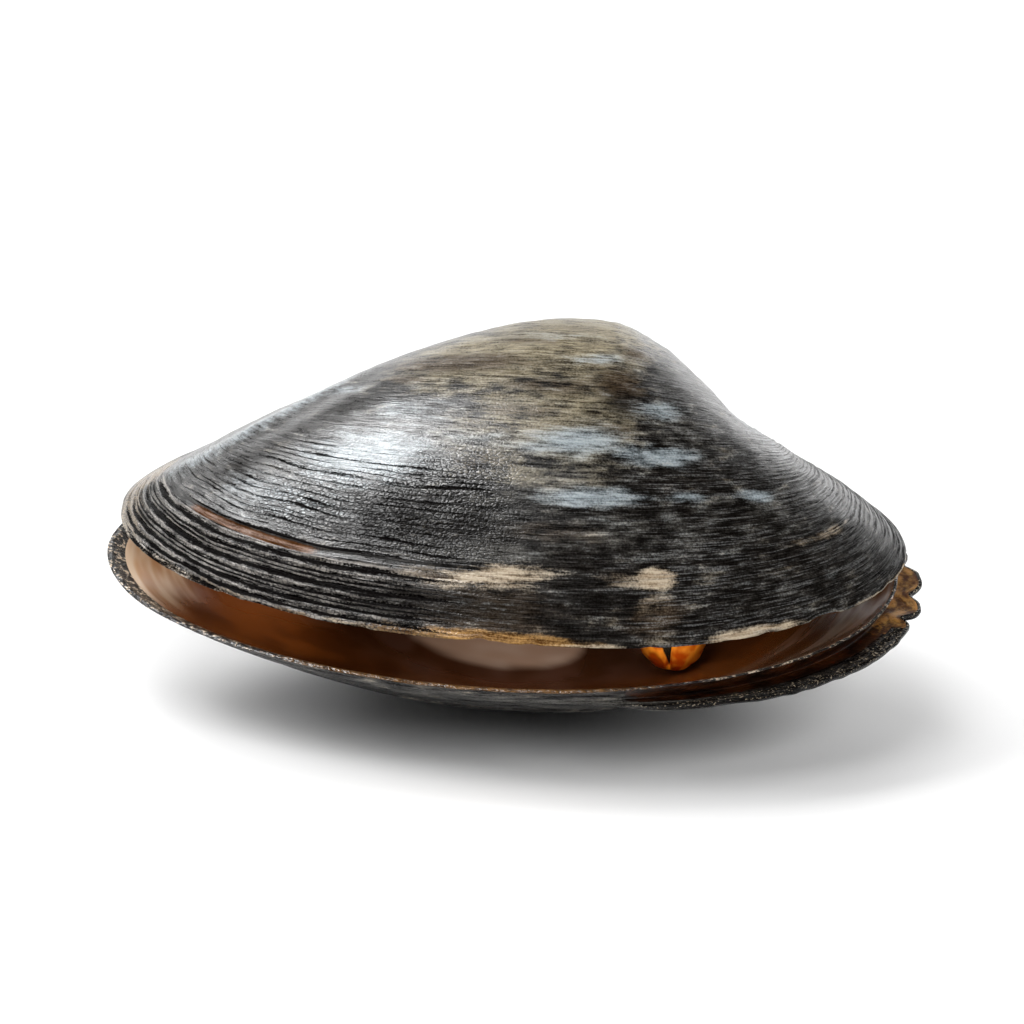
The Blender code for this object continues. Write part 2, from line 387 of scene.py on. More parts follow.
BROWN_MARKS = (
    (-94.0, 0.050, 15.0, 0.045, 0.0, 1.1),
    (-66.0, 0.045, 7.0, 0.040, 0.0, 0.8),
    (-72.0, 0.590, 12.0, 0.100, 0.0, 1.0),
    (-64.0, 0.760, 14.0, 0.060, 0.0, 0.8),
    (-92.0, 0.900, 18.0, 0.040, 0.0, 0.7),
    (-118.0, 0.647, 26.0, 0.060, 0.0004, 1.4),
    (-104.0, 0.780, 16.0, 0.030, 0.0, 0.8),
    (-128.0, 0.560, 10.0, 0.030, 0.0, 0.8),
    (-90.0, 0.560, 16.0, 0.040, 0.0, 0.8),
    (-94.0, 0.470, 12.0, 0.035, 0.0, 0.7),
    (-100.0, 0.320, 10.0, 0.030, 0.0, 0.6),
    (-84.0, 0.190, 14.0, 0.030, 0.0, 0.6),
    (-74.0, 0.430, 8.0, 0.030, 0.0, 0.7),
)
OLIVE_MARKS = (
    (-90.0, 0.900, 46.0, 0.420, 0.0, 0.95),
    (-112.0, 0.700, 34.0, 0.220, 0.0, 0.9),
    (-88.0, 0.460, 28.0, 0.220, 0.0, 0.6),
)
WORN_MARKS = (
    (-88.0, 0.310, 30.0, 0.160, 0.0, 0.6),
    (-68.0, 0.190, 34.0, 0.070, 0.0, 0.5),
    (-42.0, 0.240, 22.0, 0.050, 0.0, 0.45),
    (-60.0, 0.440, 26.0, 0.120, 0.0, 0.55),
    (-96.0, 0.145, 16.0, 0.030, 0.0, 0.95),
    (-32.0, 0.170, 12.0, 0.012, 0.0004, 0.6),
    (-45.0, 0.060, 26.0, 0.060, 0.0, 0.25),
)


def stop_turn(angle):
    """Turn of the bare groove at the main growth stop, which climbs a little towards the left tip."""
    return 0.110 + 0.0004 * np.clip(-120.0 - np.degrees(angle), 0.0, 35.0)


def keel_angle(turn):
    """Where the blunt keel runs that parts the left flank from the back, in degrees."""
    return -175.0 + 44.0 * turn


def ledge_depth(angle, turn, ledges):
    """Depth in mm below the smooth spiral, rimwards of each growth stop, which heals towards the rim."""
    depth = np.zeros_like(angle + turn)
    for number, (ledge, height, low, high) in enumerate(ledges):
        wander = stop_turn(angle) - 0.110 + 0.0015 * cloud(angle / math.tau * 30, np.full_like(angle, 3.0 + number), 30, 77)
        broken = 0.75 + 0.45 * cloud(angle / math.tau * 22, np.full_like(angle, 9.0 + number), 22, 78)
        step = 1.0 - smooth(-0.0035, 0.0, turn - ledge - wander)
        healed = np.exp(-np.maximum(ledge - turn, 0.0) / 0.035)
        depth += height * broken * span(angle, low, high, 9.0) * step * healed
    return depth


def cord_zones(angle, turn):
    """Strong cords low on the left, flat ones above them, and the crowded ones at the right end."""
    below = turn - stop_turn(angle)
    left_low = span(angle, -180.0, -97.0, 10.0) * (1.0 - smooth(-0.010, -0.005, below))
    above = span(angle, -170.0, -92.0, 12.0) * smooth(0.005, 0.010, below) * (1.0 - smooth(0.26, 0.42, turn))
    right_end = span(angle, -30.0, 46.0, 16.0) * (1.0 - smooth(0.4, 0.7, turn))
    return left_low, above, right_end, cord_count(angle, below + 0.12, 0.0132, 11, 0.35)


def upper_relief(angle, turn):
    place = angle / math.tau
    left_low, above, right_end, count = cord_zones(angle, turn)
    below = turn - stop_turn(angle)
    profile = np.abs(np.sin(np.pi * count))
    height = 0.36 * (smooth(0.15, 0.75, profile) * cord_strength(angle, count, 13) - 0.85) * left_low
    height -= 0.08 * above * (1.0 - smooth(0.05, 0.40, profile))
    height += 0.16 * (profile - 0.7) * right_end
    rest = np.clip(1.0 - left_low - above - right_end, 0.0, 1.0)
    height += 0.045 * (cords(angle, turn, 0.0100, 23) - 0.6) * rest
    height -= ledge_depth(angle, turn, UPPER_LEDGES)
    # Bare floor of the main growth stop, under its overhanging ledge
    height -= 0.26 * span(angle, -154.0, -116.0, 8.0) * smooth(-0.0110, -0.0090, below) * (1.0 - smooth(0.0045, 0.0060, below))
    height += 0.06 * cloud(place * 46, turn * 26, 46, 5)
    height -= 0.14 * smooth(0.5, 0.8, marks(angle, turn, CREAM_MARKS[2:3]))
    from_keel = away(angle, -170.0) - (keel_angle(turn) + 170.0)
    keel = smooth(0.02, 0.10, turn) * (1.0 - smooth(0.45, 0.7, turn)) * (0.7 + 0.5 * cloud(place * 9, turn * 14, 9, 15))
    height += keel * (0.30 * bell(from_keel, -4.0, 5.0) - 0.24 * bell(from_keel, 6.5, 6.0))
    # Hollow between the umbo and the right end, and low shoulders left and right of the crown
    height += 0.25 * around(angle, -36.0, 12.0) * bell(turn, 0.90, 0.12)
    height -= 0.66 * around(angle, -9.0, 17.0) * bell(turn, 0.565, 0.12)
    height += 0.45 * around(angle, 18.0, 20.0) * bell(turn, 0.17, 0.13)
    height -= 0.20 * around(angle, -78.0, 26.0) * bell(turn, 1.22, 0.22)
    height -= 0.30 * around(angle, -172.0, 20.0) * bell(turn, 0.45, 0.28)
    height -= 0.35 * around(angle, -192.0, 14.0) * bell(turn, 0.16, 0.16)
    return height


def upper_valve():
    angle = column_angles(401)
    outer_turns = spaced(
        (0.0, 0.125, 86), (0.125, 0.34, 62), (0.34, 0.8, 40), (0.8, 1.4, 18), (1.4, UMBO_TURN, 10))
    a, t = np.meshgrid(angle, outer_turns)
    chipped = broken_back(angle, 41) * span(angle, -200.0, 40.0, 10.0)
    shift = chipped / 65.0
    t_chipped = t + shift[None, :] * (1.0 - smooth(0.0, 0.02, t))
    skin = outer(UPPER, a, t_chipped)
    normals = grid_normals(skin)
    depth_scale = smooth(0.3, 6.0, -outline(UPPER, a, 0.0)[1] * np.exp(-0.9 * t))[..., None]
    skin = skin + normals * upper_relief(a, t)[..., None] * depth_scale
    hang = 0.5 * around(a, -62.0, 17.0) * np.exp(-t / 0.05)
    skin[..., 2] -= hang
    inner_turns = spaced((0.02, 0.3, 6), (0.3, CAVITY_TURN, 16))
    ai, ti = np.meshgrid(angle, inner_turns)
    lining = inner(UPPER, ai, ti)
    first = lip(UPPER, angle, RIM_WALL + 0.6 * chipped, 0.12)
    edge = rolled_edge(skin[0], first, 0.12)
    tip = skin[-1].mean(axis=0) + np.zeros_like(skin[-1])
    end = lining[-1].mean(axis=0) + np.zeros_like(lining[-1])
    rings = np.concatenate([[tip], skin[::-1], edge, lining, [end]])
    rings = to_world(rings, GAPE, HINGE_GAP)
    turns = np.concatenate([[UMBO_TURN], outer_turns[::-1], np.zeros(len(edge)), inner_turns, [CAVITY_TURN]])
    am, tm = np.meshgrid(angle, turns)
    side = np.concatenate([np.zeros(1 + len(skin)), np.linspace(0.2, 0.8, len(edge)), np.ones(1 + len(lining))])
    below = tm - stop_turn(am)
    beaded = span(am, -138.0, -92.0, 12.0) * smooth(0.01, 0.03, below) * (1.0 - smooth(0.28, 0.44, tm))
    beaded = np.maximum(beaded, 0.5 * span(am, -186.0, -96.0, 10.0) * (1.0 - smooth(-0.02, -0.01, below)))
    beaded *= 1.0 - 0.7 * marks(am, tm, (WORN_PATCH_AND_SHEEN,))
    groove = span(am, -153.0, -120.0, 5.0) * smooth(-0.0105, -0.0085, below) * (1.0 - smooth(0.0040, 0.0055, below))
    # Painted shadow: a thin dark line at the foot of the main ledge's overhang, just above the bare groove
    ledge_shadow_line = span(am, -156.0, -108.0, 8.0) * bell(below, 0.0070, 0.0018)
    left_low, above, right_end, count = cord_zones(am, tm)
    opening = gap_strength(am, count, 14)
    from_keel = away(am, -170.0) - (keel_angle(tm) + 170.0)
    keel_sheen_band = bell(from_keel, -4.0, 6.0) * smooth(0.08, 0.2, tm) * (1.0 - smooth(0.5, 0.7, tm))
    darkened = marks(am, tm, DARK_MARKS)
    fields = {
        "growth": growth_place(UPPER, am, tm),
        "inside": np.meshgrid(angle, side)[1],
        "cream": marks(am, tm, CREAM_MARKS),
        "gold": marks(am, tm, GOLD_MARKS),
        # Pale specks along the rim: painted glints
        "speckled": 0.6 * bell(tm, 0.0, 0.004) * (0.7 + 0.6 * cloud(am / math.tau * 30, tm * 0.0 + 3.3, 30, 92)),
        # Blue-grey patches where the skin is worn, some of them painted sheen, and painted sheen along the keel
        "blue": np.maximum(marks(am, tm, BLUE_MARKS), 0.7 * keel_sheen_band),
        "dark": darkened,
        "brown": marks(am, tm, BROWN_MARKS),
        "bare": groove,
        "tan": marks(am, tm, TAN_MARKS),
        "cord": count,
        # Width of the gaps between cords, for their relief and their painted shade
        "gap": (
            -0.3 + (0.84 + 0.16 * opening) * left_low + (0.40 + 0.22 * opening) * above + (0.42 + 0.24 * opening) * right_end
            - 0.9 * groove + 1.2 * ledge_shadow_line - 0.6 * around(am, -179.0, 10.0) * (1.0 - smooth(0.06, 0.16, tm))),
        "crested": (left_low + 0.45 * above * (1.0 - smooth(0.13, 0.22, tm))) * (1.0 - groove),
        "lined": span(am, -78.0, 40.0, 20.0) * (1.0 - 0.6 * smooth(0.6, 1.0, tm)),
        "olive": marks(am, tm, OLIVE_MARKS),
        "worn": marks(am, tm, WORN_MARKS),
        "beaded": beaded,
        "crossed": smooth(6.0, -3.0, from_keel) * smooth(0.0, 0.05, tm) * span(am, -230.0, -130.0, 8.0),
        "glossy": span(am, -178.0, -88.0, 24.0) * (1.0 - smooth(0.36, 0.60, tm)) * (1.0 - 0.85 * darkened) * (1.0 - groove),
        "pearl": np.zeros_like(tm),
        "deep": smooth(0.1, 0.8, tm),
        "lens": np.zeros_like(tm),
    }
    return rolled_sheet("upper_valve_shell", rings, fields)


# Lower valve
LOWER_LEDGES = (
    (0.10, 0.16, -180.0, -60.0),
    (0.16, 0.26, -180.0, 20.0),
    (0.30, 0.20, -180.0, 20.0),
    (0.47, 0.16, -180.0, 180.0),
)
LOWER_WORN = (
    (-95.0, 0.04, 40.0, 0.05, 0.0, 0.55),
    (-74.0, 0.05, 26.0, 0.03, 0.0, 1.1),
    (-70.0, 0.12, 30.0, 0.05, 0.0, 0.7),
    (-140.0, 0.10, 30.0, 0.08, 0.0, 0.6),
)


def layer_reach(angle):
    """How far the split layer reaches past the lip, with notches between its frayed lobes."""
    reach = LAYER_OUT * (LAYER_OUT_START + (1.0 - LAYER_OUT_START) * smooth(*LAYER_SPREAD, turned(angle)))
    for notch in LOBE_NOTCHES:
        reach = reach - NOTCH_DEPTH * around(angle, notch, NOTCH_WIDTH)
    frayed = span(angle, -24.0, 22.0, 5.0) * cloud(angle / math.tau * 170, np.full_like(angle, 2.5), 170, 61)
    return reach + 0.22 * frayed


def swelling(points):
    across = (points[..., 0] - SWELLING_CENTRE[0]) / SWELLING_REACH[0]
    along = (points[..., 1] - SWELLING_CENTRE[1]) / SWELLING_REACH[1]
    return 1.0 - smooth(0.8, 1.15, np.hypot(across, along))


def lower_relief(angle, turn):
    profile = np.abs(np.sin(np.pi * cord_count(angle, turn, 0.013, 31, 0.6)))
    height = 0.14 * (profile - 0.7)
    height -= ledge_depth(angle, turn, LOWER_LEDGES)
    return height + 0.07 * cloud(angle / math.tau * 46, turn * 28, 46, 6)


def lower_valve():
    angle = column_angles(401)
    whole_turns = np.linspace(0.002, 0.075, 26)
    outer_turns = spaced((0.08, 0.5, 72), (0.5, 1.2, 36), (1.2, UMBO_TURN, 22))
    inner_turns = spaced((0.02, 0.3, 10), (0.3, CAVITY_TURN, 48))
    share = span(angle, sum(LAYER_START) / 2, sum(LAYER_END) / 2, (LAYER_START[1] - LAYER_START[0]) / 2)
    reach = layer_reach(angle)
    # Cross-section of the split edge: down the crevice, out along the layer, round its rough edge
    section = []
    for step in np.linspace(0.0, 1.0, 8, endpoint=False):
        section.append((0.45 + (CREVICE_IN - 0.45) * step, -0.05 - (CREVICE_DOWN - 0.05) * step ** 0.8))
    for step in np.linspace(0.0, 1.0, 11, endpoint=False):
        section.append((CREVICE_IN - (CREVICE_IN + reach) * step, -CREVICE_DOWN + (CREVICE_DOWN - LAYER_DOWN) * step))
    for step in np.linspace(0.0, 1.0, 7):
        bulge = 0.12 * math.sin(math.pi * step)
        section.append((-reach - bulge + LAYER_THICKNESS / 3 * step, -LAYER_DOWN - LAYER_THICKNESS * step))
    split = np.array([lip(LOWER, angle, inset, height) for inset, height in section])
    rough = cloud(angle / math.tau * 190, np.full_like(angle, 4.5), 190, 63)
    flutter = cloud(angle / math.tau * 60, np.full_like(angle, 7.5), 60, 64)
    split[19:, :, 2] += 0.10 * rough
    split[8:19, :, 2] += (0.14 * flutter)[None, :] * np.linspace(0.0, 1.0, 11)[:, None]
    split[19:, :, 2] += 0.14 * flutter
    aw, tw = np.meshgrid(angle, whole_turns)
    whole = outer(LOWER, aw, tw)
    whole[..., 2] *= -1
    a, t = np.meshgrid(angle, outer_turns)
    skin = outer(LOWER, a, t)
    skin[..., 2] *= -1
    joined = np.concatenate([whole, skin])
    aj, tj = np.meshgrid(angle, np.concatenate([whole_turns, outer_turns]))
    depth_scale = smooth(0.3, 6.0, -outline(LOWER, aj, 0.0)[1] * np.exp(-0.95 * tj))[..., None]
    joined = joined - grid_normals(joined) * lower_relief(aj, tj)[..., None] * depth_scale
    whole, skin = joined[: len(whole)], joined[len(whole):]
    crust = whole + (split - whole) * share[None, :, None]
    ai, ti = np.meshgrid(angle, inner_turns)
    lining = inner(LOWER, ai, ti)
    lining[..., 2] *= -1
    lens = swelling(lining)
    lining[..., 2] += SWELLING_HEIGHT * lens
    edge = []
    for inset, height in ((1.03, -0.2), (0.92, -0.06), (0.75, 0.02), (0.55, 0.05), (0.38, 0.02), (0.15, 0.0)):
        edge.append(lip(LOWER, angle, inset, height))
    edge = np.array(edge)
    edge[-1] = edge[-1] + (lip(LOWER, angle, 0.42, 0.0) - edge[-1]) * share[:, None]
    lumps = cloud(angle / math.tau * 170, np.full_like(angle, 1.5), 170, 65) * span(angle, -190.0, 30.0, 12.0)
    for ring, amount in enumerate((0.0, 0.02, 0.05, 0.08, 0.09, 0.06)):
        edge[ring, :, 2] += amount * lumps
    # The lip's left end reaches a little further out and down
    rings = np.concatenate([lining[::-1], edge, crust, skin])
    turns = np.concatenate([inner_turns[::-1], np.zeros(len(edge)), whole_turns, outer_turns])
    am, tm = np.meshgrid(angle, turns)
    flare = 0.8 * around(am, -150.0, 22.0) * np.exp(-tm / 0.12)
    rings[..., 0] -= 0.75 * flare
    rings[..., 1] -= 0.5 * flare
    rings[..., 2] -= 0.35 * flare
    tucked = around(am, -190.0, 14.0) * np.exp(-tm / 0.3)
    rings[..., 0] += 1.6 * tucked
    rings[..., 2] -= 0.5 * tucked
    end = rings[0].mean(axis=0) + np.zeros_like(rings[0])
    tip = rings[-1].mean(axis=0) + np.zeros_like(rings[0])
    rings = np.concatenate([[end], rings, [tip]])
    rings = to_world(rings, 0.0, 0.0)
    rings[..., 2] = np.maximum(rings[..., 2], 0.0)
    turns = np.concatenate([[CAVITY_TURN], turns, [UMBO_TURN]])
    am, tm = np.meshgrid(angle, turns)
    rows_in, rows_crust = 1 + len(lining), len(crust)
    side = np.concatenate([np.ones(rows_in), np.linspace(0.8, 0.2, len(edge)), np.zeros(rows_crust + len(skin) + 1)])
    inside = np.meshgrid(angle, side)[1]
    # The right half's lip is narrow: its inner half is glazed like the lining
    inside = np.minimum(1.0, inside + 0.45 * span(am, -56.0, 34.0, 6.0) * (inside > 0.5))
    layer = np.zeros_like(tm)
    first = rows_in + len(edge)
    layer[first:first + 14] = share
    layer[first + 14:first + 19] = share * span(angle, -14.0, 26.0, 3.0)
    lens_field = np.zeros_like(tm)
    lens_field[1:rows_in] = lens[::-1]
    # Pale flecks along the split layer's rough edge: painted glints
    rough_edge = np.zeros_like(tm)
    rough_edge[first + 15:first + 22] = share
    fields = {
        "growth": growth_place(LOWER, am, tm),
        "inside": inside,
        "cream": 0.45 * span(am, -135.0, -85.0, 12.0) * bell(tm, 0.0, 0.02),
        "bare": np.zeros_like(tm),
        "cord": cord_count(am, tm, 0.013, 31, 0.6),
        "gap": 0.30 + np.zeros_like(tm),
        "speckled": rough_edge,
        "dark": 0.6 * span(am, -200.0, 30.0, 12.0) * bell(tm, 0.10, 0.05),
        "crested": 0.25 + np.zeros_like(tm),
        "lined": 0.5 + np.zeros_like(tm),
        "gold": np.zeros_like(tm),
        "blue": np.zeros_like(tm),
        "brown": 0.4 * span(am, -60.0, 20.0, 15.0) + np.zeros_like(tm),
        "olive": np.zeros_like(tm),
        "worn": marks(am, tm, LOWER_WORN),
        "beaded": np.maximum(span(am, -188.0, -120.0, 14.0), 0.9 * span(am, -58.0, 20.0, 12.0)) + np.zeros_like(tm),
        "crossed": np.zeros_like(tm),
        "glossy": np.zeros_like(tm),
        "pearl": np.maximum(
            span(am, -205.0, -152.0, 14.0) * (1.0 - smooth(0.0, 0.30, tm)),
            0.35 * span(am, -60.0, 10.0, 20.0) * (1.0 - smooth(0.0, 0.35, tm))),
        "deep": smooth(0.1, 0.8, tm),
        "lens": lens_field,
        "layer": layer,
        "tan": np.zeros_like(tm),
        "smooth_lip": span(am, -118.0, -66.0, 14.0) + np.zeros_like(tm),
        "lobes": span(am, -16.0, 26.0, 8.0) + np.zeros_like(tm),
    }
    return rolled_sheet("lower_valve_shell", rings, fields)


def linear(colour):
    """Linear colour of an sRGB hex value."""
    parts = [int(colour[i:i + 2], 16) / 255.0 for i in (1, 3, 5)]
    parts = [p / 12.92 if p <= 0.04045 else ((p + 0.055) / 1.055) ** 2.4 for p in parts]
    return (*parts, 1.0)


def add(tree, kind, inputs=None, **settings):
    """One node with its settings, and a value or a link for each input named."""
    node = tree.nodes.new(kind)
    for name, value in settings.items():
        setattr(node, name, value)
    for name, value in (inputs or {}).items():
        if isinstance(value, bpy.types.NodeSocket):
            tree.links.new(value, node.inputs[name])
        elif isinstance(value, str):
            node.inputs[name].default_value = linear(value)
        else:
            node.inputs[name].default_value = value
    return node


def spread(tree, sized, detail):
    """Noise at the given place, stretched to use the whole range from 0 to 1."""
    noise = add(tree, "ShaderNodeTexNoise", {
        "Vector": sized.outputs["Vector"], "Scale": 1.0, "Detail": detail, "Roughness": 0.6})
    full = add(tree, "ShaderNodeMapRange", {
        "Value": noise.outputs["Fac"], "From Min": 0.30, "From Max": 0.70})
    return full.outputs["Result"]


def grain(tree, along, across, seed, detail=3.0, field="growth"):
    """Noise drawn out along the growth lines; sizes in mm along and across them."""
    place = add(tree, "ShaderNodeAttribute", attribute_name=field)
    sized = add(tree, "ShaderNodeMapping", {
        "Vector": place.outputs["Vector"],
        "Location": (seed * 1.7, seed * 2.3, seed * 3.1),
        "Scale": (1000.0 / along, 1000.0 / along, 1000.0 / across),
    })
    return spread(tree, sized, detail)


def grit(tree, size, seed, stretch=(1.0, 1.0, 1.0), detail=2.0):
    """Even noise through the piece, with the size in mm of its grains."""
    place = add(tree, "ShaderNodeTexCoord")
    scale = tuple(1000.0 / size * part for part in stretch)
    sized = add(tree, "ShaderNodeMapping", {
        "Vector": place.outputs["Object"], "Location": (seed * 1.3, seed * 0.7, seed * 2.9), "Scale": scale})
    return spread(tree, sized, detail)


def toned(tree, pattern, dark, light, low=0.2, high=0.8):
    """Two colours parted by a pattern."""
    share = add(tree, "ShaderNodeMapRange", {
        "Value": pattern, "From Min": low, "From Max": high}, interpolation_type="SMOOTHSTEP")
    mixed = add(tree, "ShaderNodeMixRGB", {"Fac": share.outputs["Result"], "Color1": dark, "Color2": light})
    return mixed.outputs["Color"]


def laid_over(tree, under, colour, field, pattern, ragged, low, high, most=1.0):
    """A layer over the one below it where its field is high, with an edge broken up by a pattern."""
    where = add(tree, "ShaderNodeAttribute", attribute_name=field)
    broken = add(tree, "ShaderNodeMath", {
        0: pattern, 1: ragged, 2: where.outputs["Fac"]}, operation="MULTIPLY_ADD")
    share = add(tree, "ShaderNodeMapRange", {
        "Value": broken.outputs[0], "From Min": low + 0.5 * ragged, "From Max": high + 0.5 * ragged,
        "To Max": most}, interpolation_type="SMOOTHSTEP")
    mixed = add(tree, "ShaderNodeMixRGB", {"Fac": share.outputs["Result"], "Color1": under, "Color2": colour})
    return mixed.outputs["Color"]


def summed(tree, parts):
    """Sum of patterns, each times its height in mm."""
    total = 0.0
    for pattern, height in parts:
        total = add(tree, "ShaderNodeMath", {0: pattern, 1: height, 2: total}, operation="MULTIPLY_ADD").outputs[0]
    return total


def times_field(tree, pattern, field):
    where = add(tree, "ShaderNodeAttribute", attribute_name=field)
    return add(tree, "ShaderNodeMath", {0: pattern, 1: where.outputs["Fac"]}, operation="MULTIPLY").outputs[0]


def finish_surface(tree, shader, colour, roughness, height):
    """Joins colour, roughness and a relief in mm to the shader."""
    tree.links.new(colour, shader.inputs["Base Color"])
    if isinstance(roughness, bpy.types.NodeSocket):
        tree.links.new(roughness, shader.inputs["Roughness"])
    else:
        shader.inputs["Roughness"].default_value = roughness
    bump = add(tree, "ShaderNodeBump", {"Strength": 1.0, "Distance": MM, "Height": height})
    tree.links.new(bump.outputs["Normal"], shader.inputs["Normal"])


def new_material(name):
    made = bpy.data.materials.new(name)
    made.use_nodes = True
    return made, made.node_tree, made.node_tree.nodes["Principled BSDF"]


def plain(name, colour, roughness):
    made, tree, shader = new_material(name)
    shader.inputs["Base Color"].default_value = linear(colour)
    shader.inputs["Roughness"].default_value = roughness
    return made


def cells(tree, along, across):
    """Distance from the cracks between grains that lie in the growth lines; sizes in mm along and across them."""
    place = add(tree, "ShaderNodeAttribute", attribute_name="growth")
    sized = add(tree, "ShaderNodeMapping", {
        "Vector": place.outputs["Vector"], "Scale": (1000.0 / along, 1000.0 / along, 1000.0 / across)})
    return add(tree, "ShaderNodeTexVoronoi", {
        "Vector": sized.outputs["Vector"], "Scale": 1.0}, feature="DISTANCE_TO_EDGE").outputs["Distance"]


def between(tree, pattern, low, high, start=0.0, end=1.0):
    return add(tree, "ShaderNodeMapRange", {
        "Value": pattern, "From Min": low, "From Max": high, "To Min": start, "To Max": end}).outputs["Result"]


def weathered_periostracum(name, black, grey):
    """Horny outer skin: black where it is whole, streaked grey, olive and brown where it is rubbed thin,
    chalky blue-grey and cream where it has gone. Some pale patches are painted sheen, the gaps between cords
    get painted shade, and crests, silver lines and rim flecks get painted highlights and glints.
    Its fine lines catch the light like brushed varnish."""
    made, tree, shader = new_material(name)
    fine = grain(tree, 2.4, 0.15, 1)
    line = grain(tree, 3.6, 0.38, 2)
    streak = grain(tree, 2.6, 0.9, 3)
    blotch = grain(tree, 3.6, 2.2, 4)
    specks = grit(tree, 0.22, 5)
    thread = summed(tree, ((grain(tree, 5.0, 0.17, 9, detail=2.0), 0.75), (blotch, 0.25)))
    # Growth cords: 0 in the gaps between them and 1 on their crests, with gnawed edges
    count = add(tree, "ShaderNodeAttribute", attribute_name="cord").outputs["Fac"]
    gnawed = summed(tree, ((line, 0.34), (specks, 0.22), (count, 1.0)))
    ridge = add(tree, "ShaderNodeMath", {0: gnawed, 1: 0.5}, operation="PINGPONG").outputs[0]
    gap = add(tree, "ShaderNodeAttribute", attribute_name="gap").outputs["Fac"]
    over = summed(tree, ((gap, -0.5), (ridge, 1.0)))
    crest_share = between(tree, over, -0.03, 0.07)
    grains = cells(tree, 0.50, 0.36)
    lines = summed(tree, ((fine, 0.36), (line, 0.26), (specks, 0.20), (streak, 0.18)))
    ragged = summed(tree, ((streak, 0.34), (blotch, 0.36), (line, 0.16), (specks, 0.14)))
    drawn = summed(tree, ((line, 0.38), (streak, 0.42), (specks, 0.20)))
    dark = toned(tree, ragged, black, "#1a1613", 0.3, 0.8)
    colour = toned(tree, lines, dark, grey, 0.45, 0.95)
    worn = toned(tree, lines, "#2f2c28", "#77756f", 0.15, 0.85)
    colour = laid_over(tree, colour, worn, "worn", ragged, 1.6, 0.15, 1.25, 0.9)
    # Cord crests: a pale worn tone, painted lighter towards their tops as a highlight
    backs = summed(tree, ((lines, 0.75), (ridge, 0.60)))
    crest_tone_and_highlight = toned(tree, backs, "#16120f", "#b3aca4", 0.44, 0.82)
    colour = laid_over(tree, colour, crest_tone_and_highlight, "crested", ragged, 1.2, 0.20, 1.10, 0.9)
    olive = toned(tree, lines, "#43392a", "#b0a486", 0.1, 0.9)
    colour = laid_over(tree, colour, olive, "olive", ragged, 1.4, 0.10, 1.05, 0.9)
    brown = toned(tree, lines, "#191109", "#4f3c25", 0.20, 0.85)
    colour = laid_over(tree, colour, brown, "brown", ragged, 1.5, 0.20, 1.15, 0.85)
    darker = toned(tree, lines, "#0a0806", "#2f2a24", 0.3, 0.9)
    colour = laid_over(tree, colour, darker, "dark", ragged, 1.6, 0.20, 1.1, 0.9)
    blue = toned(tree, lines, "#6f7a7f", "#a9b3b8", 0.15, 0.75)
    colour = laid_over(tree, colour, blue, "blue", drawn, 1.3, 0.10, 1.20, 0.9)
    tan = toned(tree, lines, "#4a3c2e", "#a8977f", 0.25, 0.80)
    colour = laid_over(tree, colour, tan, "tan", ragged, 1.4, 0.20, 1.05, 0.9)
    gold = toned(tree, lines, "#4a3013", "#a88248", 0.25, 0.80)
    colour = laid_over(tree, colour, gold, "gold", ragged, 1.0, 0.35, 1.0, 0.95)
    cream = toned(tree, lines, "#8a745a", "#c4b49c", 0.2, 0.7)
    colour = laid_over(tree, colour, cream, "cream", drawn, 1.3, 0.30, 1.05, 0.95)
    bare = toned(tree, lines, "#3a1e05", "#653b0e", 0.2, 0.7)
    colour = laid_over(tree, colour, bare, "bare", specks, 0.2, 0.4, 0.8)
    # Thin silver lines on the right half: painted highlights along the fine growth lines
    silver_line_highlights = toned(tree, specks, "#4c4c4b", "#8e8e8d")
    colour = laid_over(tree, colour, silver_line_highlights, "lined", thread, 3.0, 1.35, 1.65, 0.36)
    # Near-black painted shade in the cracks between grains and, below, in the gaps between cords
    painted_gap_shade = toned(tree, specks, "#030202", "#0d0a09")
    colour = laid_over(tree, colour, painted_gap_shade, "beaded", grains, -4.0, 2.0, 2.5, 0.9)
    colour = add(tree, "ShaderNodeMixRGB", {
        "Fac": crest_share, "Color1": painted_gap_shade, "Color2": colour}).outputs["Color"]
    # Pale flecks on the rim and on the split layer's edge: painted glints
    flecks = toned(tree, specks, "#0b0908", "#b3a48d", 0.72, 0.92)
    colour = laid_over(tree, colour, flecks, "speckled", streak, 0.6, 0.3, 0.9, 0.95)
    across = grit(tree, 0.8, 8, stretch=(4.0, 0.35, 0.6))
    height = summed(tree, (
        (fine, 0.022), (line, 0.034), (specks, 0.016),
        (crest_share, 0.10),
        (times_field(tree, specks, "crested"), 0.055),
        (times_field(tree, between(tree, thread, 0.55, 0.75), "lined"), 0.03),
        (times_field(tree, between(tree, grains, 0.0, 0.24), "beaded"), 0.042),
        (times_field(tree, across, "crossed"), 0.05),
    ))
    # Crests shine and gaps don't, the varnished left flank shines most, and all of it where it turns away
    turned_away = add(tree, "ShaderNodeLayerWeight", {"Blend": 0.5}).outputs["Facing"]
    shine = summed(tree, (
        (lines, 1.0), (times_field(tree, crest_share, "glossy"), 0.50), (between(tree, turned_away, 0.50, 0.85), 0.55)))
    gloss = between(tree, shine, 0.42, 1.05, 0.06, 0.65)
    gloss = add(tree, "ShaderNodeMath", {
        0: gloss, 1: between(tree, crest_share, 0.0, 1.0, 0.1, 1.0)}, operation="MULTIPLY").outputs[0]
    finish_surface(tree, shader, colour, between(tree, lines, 0.2, 0.8, 0.24, 0.38), height)
    tree.links.new(gloss, shader.inputs["Specular IOR Level"])
    shader.inputs["IOR"].default_value = 1.5
    return made


